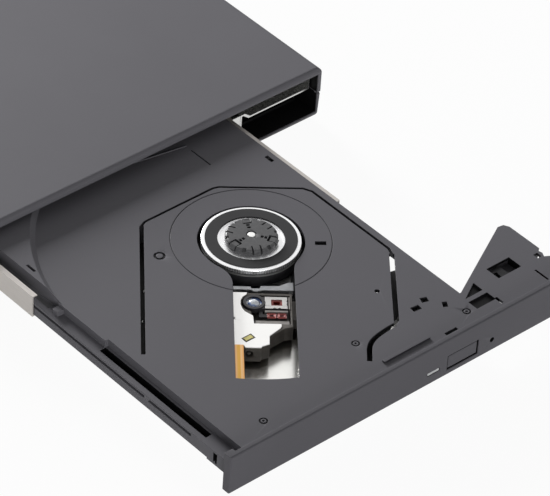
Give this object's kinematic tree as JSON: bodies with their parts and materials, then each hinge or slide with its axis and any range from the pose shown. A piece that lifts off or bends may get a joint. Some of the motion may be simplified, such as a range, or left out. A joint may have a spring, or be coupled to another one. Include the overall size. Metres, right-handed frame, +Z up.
{
  "type": "external slim disc drive",
  "caption": "Slim external optical disc drive in a flat two-part case, with its disc tray pulled out on side rails and the spindle and laser pickup in view.",
  "frame": {"origin": "on the table, under the middle of the whole length and width with the tray pulled out", "axes": "+X to the right seen from the bezel, +Y from the bezel towards the sockets at the back, +Z up"},
  "size_m": [0.1314, 0.2536, 0.0185],
  "materials": {
    "bezel_plastic": "satin",
    "board_green": "solder mask",
    "bright_screw": "zinc plated",
    "cable_film": "film",
    "case_plastic": "fine satin texture",
    "chassis_steel": "zinc plated",
    "chip_black": "moulded",
    "claw_plastic": "moulded",
    "coil_copper": "enamelled winding",
    "cover_bright": "bright",
    "damper_rubber": "matt",
    "dark_screw": "black plated",
    "flex_orange": "film",
    "foot_rubber": "matt",
    "frame_cast": "cast",
    "guide_plastic": "moulded",
    "holder_black": "moulded",
    "hub_plastic": "moulded",
    "jack_black": "moulded",
    "lens_glass": "coated",
    "light_pipe": "clear moulding",
    "magnet_coil": "copper winding",
    "motor_steel": "drawn",
    "nut_plastic": "moulded",
    "plug_plastic": "moulded",
    "rail_steel": "bright",
    "ring_rubber": "matt",
    "rod_steel": "ground",
    "rotor_dark": "satin",
    "screw_steel": "rolled thread",
    "sled_cast": "cast",
    "socket_steel": "nickel plated",
    "table_metal": "turned",
    "tray_plastic": "satin",
    "yoke_steel": "nickel plated"
  },
  "bodies": {
    "case": {"upper_shell": "case_plastic", "lower_shell": "case_plastic", "rubber_feet": "foot_rubber", "shell_screws": "dark_screw", "bridge_board": "board_green", "bridge_parts": "chip_black", "bridge_screws": "bright_screw", "usb_socket": "socket_steel", "power_jack": "jack_black", "drive_connector": "plug_plastic", "drive_plug": "plug_plastic", "chassis_base": "chassis_steel", "chassis_top_cover": "chassis_steel", "chassis_screws": "bright_screw", "left_rail_guide": "guide_plastic", "right_rail_guide": "rail_steel", "main_board": "board_green", "board_parts": "chip_black", "board_screws": "bright_screw", "flat_cable_lower": "cable_film", "latch_pin": "chassis_steel"},
    "flat_cable_loop": {"flat_cable_loop": "cable_film"},
    "left_rail": {"left_rail": "rail_steel"},
    "right_rail": {"right_rail": "rail_steel"},
    "tray": {"tray": "tray_plastic", "tray_bottom_cover": "cover_bright", "tray_screws": "bright_screw", "bezel": "bezel_plastic", "led_light_pipe": "light_pipe", "switch_board": "board_green", "latch_solenoid": "magnet_coil", "latch_pivot": "tray_plastic", "traverse_frame": "frame_cast", "traverse_dampers": "damper_rubber", "damper_screws": "bright_screw", "guide_rods": "rod_steel", "stepper_motor": "motor_steel", "motor_base": "motor_steel", "pickup_flex": "flex_orange"},
    "latch_hook": {"latch_hook": "yoke_steel"},
    "eject_button": {"eject_button": "bezel_plastic"},
    "lead_screw": {"lead_screw": "screw_steel"},
    "turntable": {"motor_rotor": "rotor_dark", "turntable_ring": "table_metal", "rubber_ring": "ring_rubber", "centring_hub": "hub_plastic"},
    "hub_claw_1": {"hub_claw_1": "claw_plastic"},
    "hub_claw_2": {"hub_claw_2": "claw_plastic"},
    "hub_claw_3": {"hub_claw_3": "claw_plastic"},
    "sled": {"pickup_body": "sled_cast", "nut_finger": "nut_plastic", "pickup_cover": "cover_bright", "actuator_yoke": "yoke_steel"},
    "lens": {"lens_holder": "holder_black", "focus_coil": "coil_copper", "objective_lens": "lens_glass"}
  },
  "joints": [
    {"name": "tray_slide", "type": "slide", "parent": "case", "child": "tray", "axis": [0, 1, 0], "range_m": [0, 0.1105]},
    {"name": "left_rail_slide", "type": "slide", "parent": "case", "child": "left_rail", "axis": [0, 1, 0], "range_m": [0, 0.05525]},
    {"name": "right_rail_slide", "type": "slide", "parent": "case", "child": "right_rail", "axis": [0, 1, 0], "range_m": [0, 0.05525]},
    {"name": "cable_roll", "type": "slide", "parent": "case", "child": "flat_cable_loop", "axis": [0, 1, 0], "range_m": [0, 0.05525]},
    {"name": "spindle_turn", "type": "hinge", "parent": "tray", "child": "turntable", "pos_m": [0.001, -0.05965, 0.0133], "axis": [0, 0, 1], "continuous": true},
    {"name": "sled_slide", "type": "slide", "parent": "tray", "child": "sled", "axis": [-0.6361, -0.7716, 0], "range_m": [-0.0005, 0.0325]},
    {"name": "focus_slide", "type": "slide", "parent": "sled", "child": "lens", "axis": [0, 0, 1], "range_m": [-0.0004, 0.0004], "stiffness_N_per_m": 60},
    {"name": "lead_screw_turn", "type": "hinge", "parent": "tray", "child": "lead_screw", "pos_m": [-0.03779, -0.07951, 0.0089], "axis": [-0.6361, -0.7716, 0], "range_deg": [-61, 3901]},
    {"name": "eject_press", "type": "slide", "parent": "tray", "child": "eject_button", "axis": [0, 1, 0], "range_m": [0, 0.0008], "stiffness_N_per_m": 400},
    {"name": "latch_turn", "type": "hinge", "parent": "tray", "child": "latch_hook", "pos_m": [0.048, -0.11475, 0.01165], "axis": [0, 0, 1], "range_deg": [0, 15], "stiffness_Nm_per_rad": 0.0005},
    {"name": "claw_press_1", "type": "slide", "parent": "turntable", "child": "hub_claw_1", "axis": [-0.5373, 0.8434, 0], "range_m": [0, 0.0005], "stiffness_N_per_m": 200},
    {"name": "claw_press_2", "type": "slide", "parent": "turntable", "child": "hub_claw_2", "axis": [-0.4617, -0.887, 0], "range_m": [0, 0.0005], "stiffness_N_per_m": 200},
    {"name": "claw_press_3", "type": "slide", "parent": "turntable", "child": "hub_claw_3", "axis": [0.999, 0.0436, 0], "range_m": [0, 0.0005], "stiffness_N_per_m": 200}
  ],
  "couplings": [
    {"joint": "left_rail_slide", "follows": "tray_slide", "ratio": 0.5},
    {"joint": "right_rail_slide", "follows": "tray_slide", "ratio": 0.5},
    {"joint": "cable_roll", "follows": "tray_slide", "ratio": 0.5},
    {"joint": "lead_screw_turn", "follows": "sled_slide", "rad_per_m": 2094.4}
  ]
}
